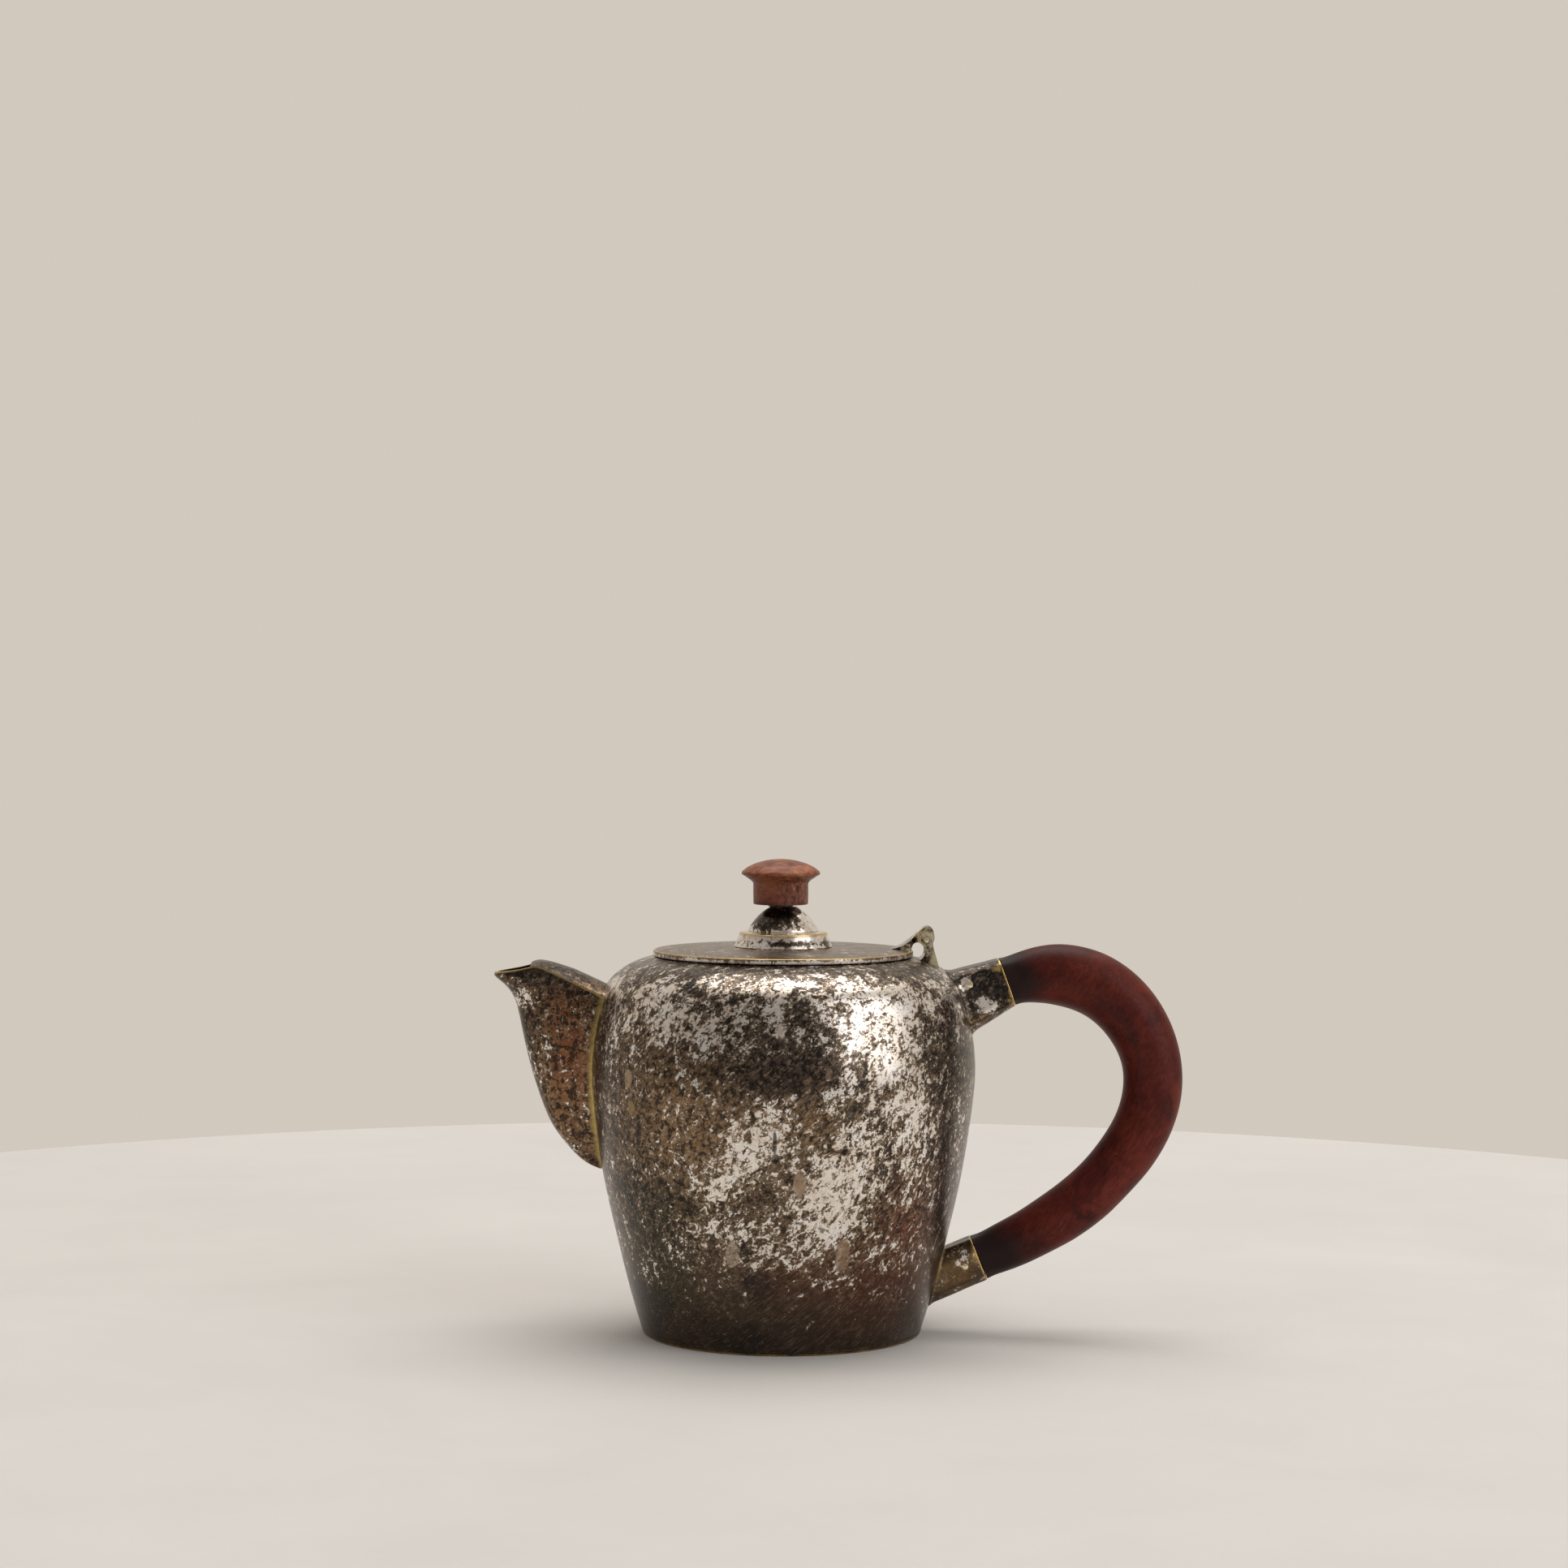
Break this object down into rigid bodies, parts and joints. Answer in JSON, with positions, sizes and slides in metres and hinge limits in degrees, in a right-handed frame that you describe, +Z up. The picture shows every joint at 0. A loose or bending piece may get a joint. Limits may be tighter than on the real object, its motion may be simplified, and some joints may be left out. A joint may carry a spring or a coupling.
{
  "type": "teapot",
  "caption": "Small silver-plated teapot with a hinged lid, a turned wooden knob, a covered beak spout and a wooden loop handle pinned in tapered sockets.",
  "frame": {"origin": "centre of the foot, on the plane the teapot stands on and on the vessel's axis", "axes": "+Z up along the vessel's axis, -X towards the spout, +X towards the handle and the hinge, Y across"},
  "size_m": [0.2011, 0.1124, 0.138],
  "materials": {
    "silver_plate": "tarnished silver plate over brass, worn bright in patches",
    "worn_brass": "brass with the plate worn off its edges",
    "knob_wood": "oiled reddish hardwood",
    "handle_wood": "dark red stained hardwood, satin",
    "steel": "dull steel"
  },
  "bodies": {
    "pot": {"body_shell": "silver_plate", "foot_ring": "silver_plate", "base_disc": "silver_plate", "mouth_ring": "silver_plate", "spout_channel": "silver_plate", "spout_cover": "silver_plate", "upper_socket": "silver_plate", "lower_socket": "silver_plate", "handle_grip": "handle_wood", "upper_handle_pin": "worn_brass", "lower_handle_pin": "worn_brass", "hinge_body_leaf": "worn_brass", "hinge_pin": "worn_brass"},
    "lid": {"lid_plate": "silver_plate", "lid_bezel": "silver_plate", "lid_drum": "silver_plate", "lid_dome": "silver_plate", "knob_collar": "steel", "knob": "knob_wood", "knob_stud": "steel", "knob_washer": "steel", "knob_nut": "steel", "hinge_lid_leaf": "worn_brass"}
  },
  "joints": [
    {"name": "lid_hinge", "type": "hinge", "parent": "pot", "child": "lid", "pos_m": [0.0415, 0, 0.1149], "axis": [0, 1, 0], "range_deg": [0, 105]}
  ]
}
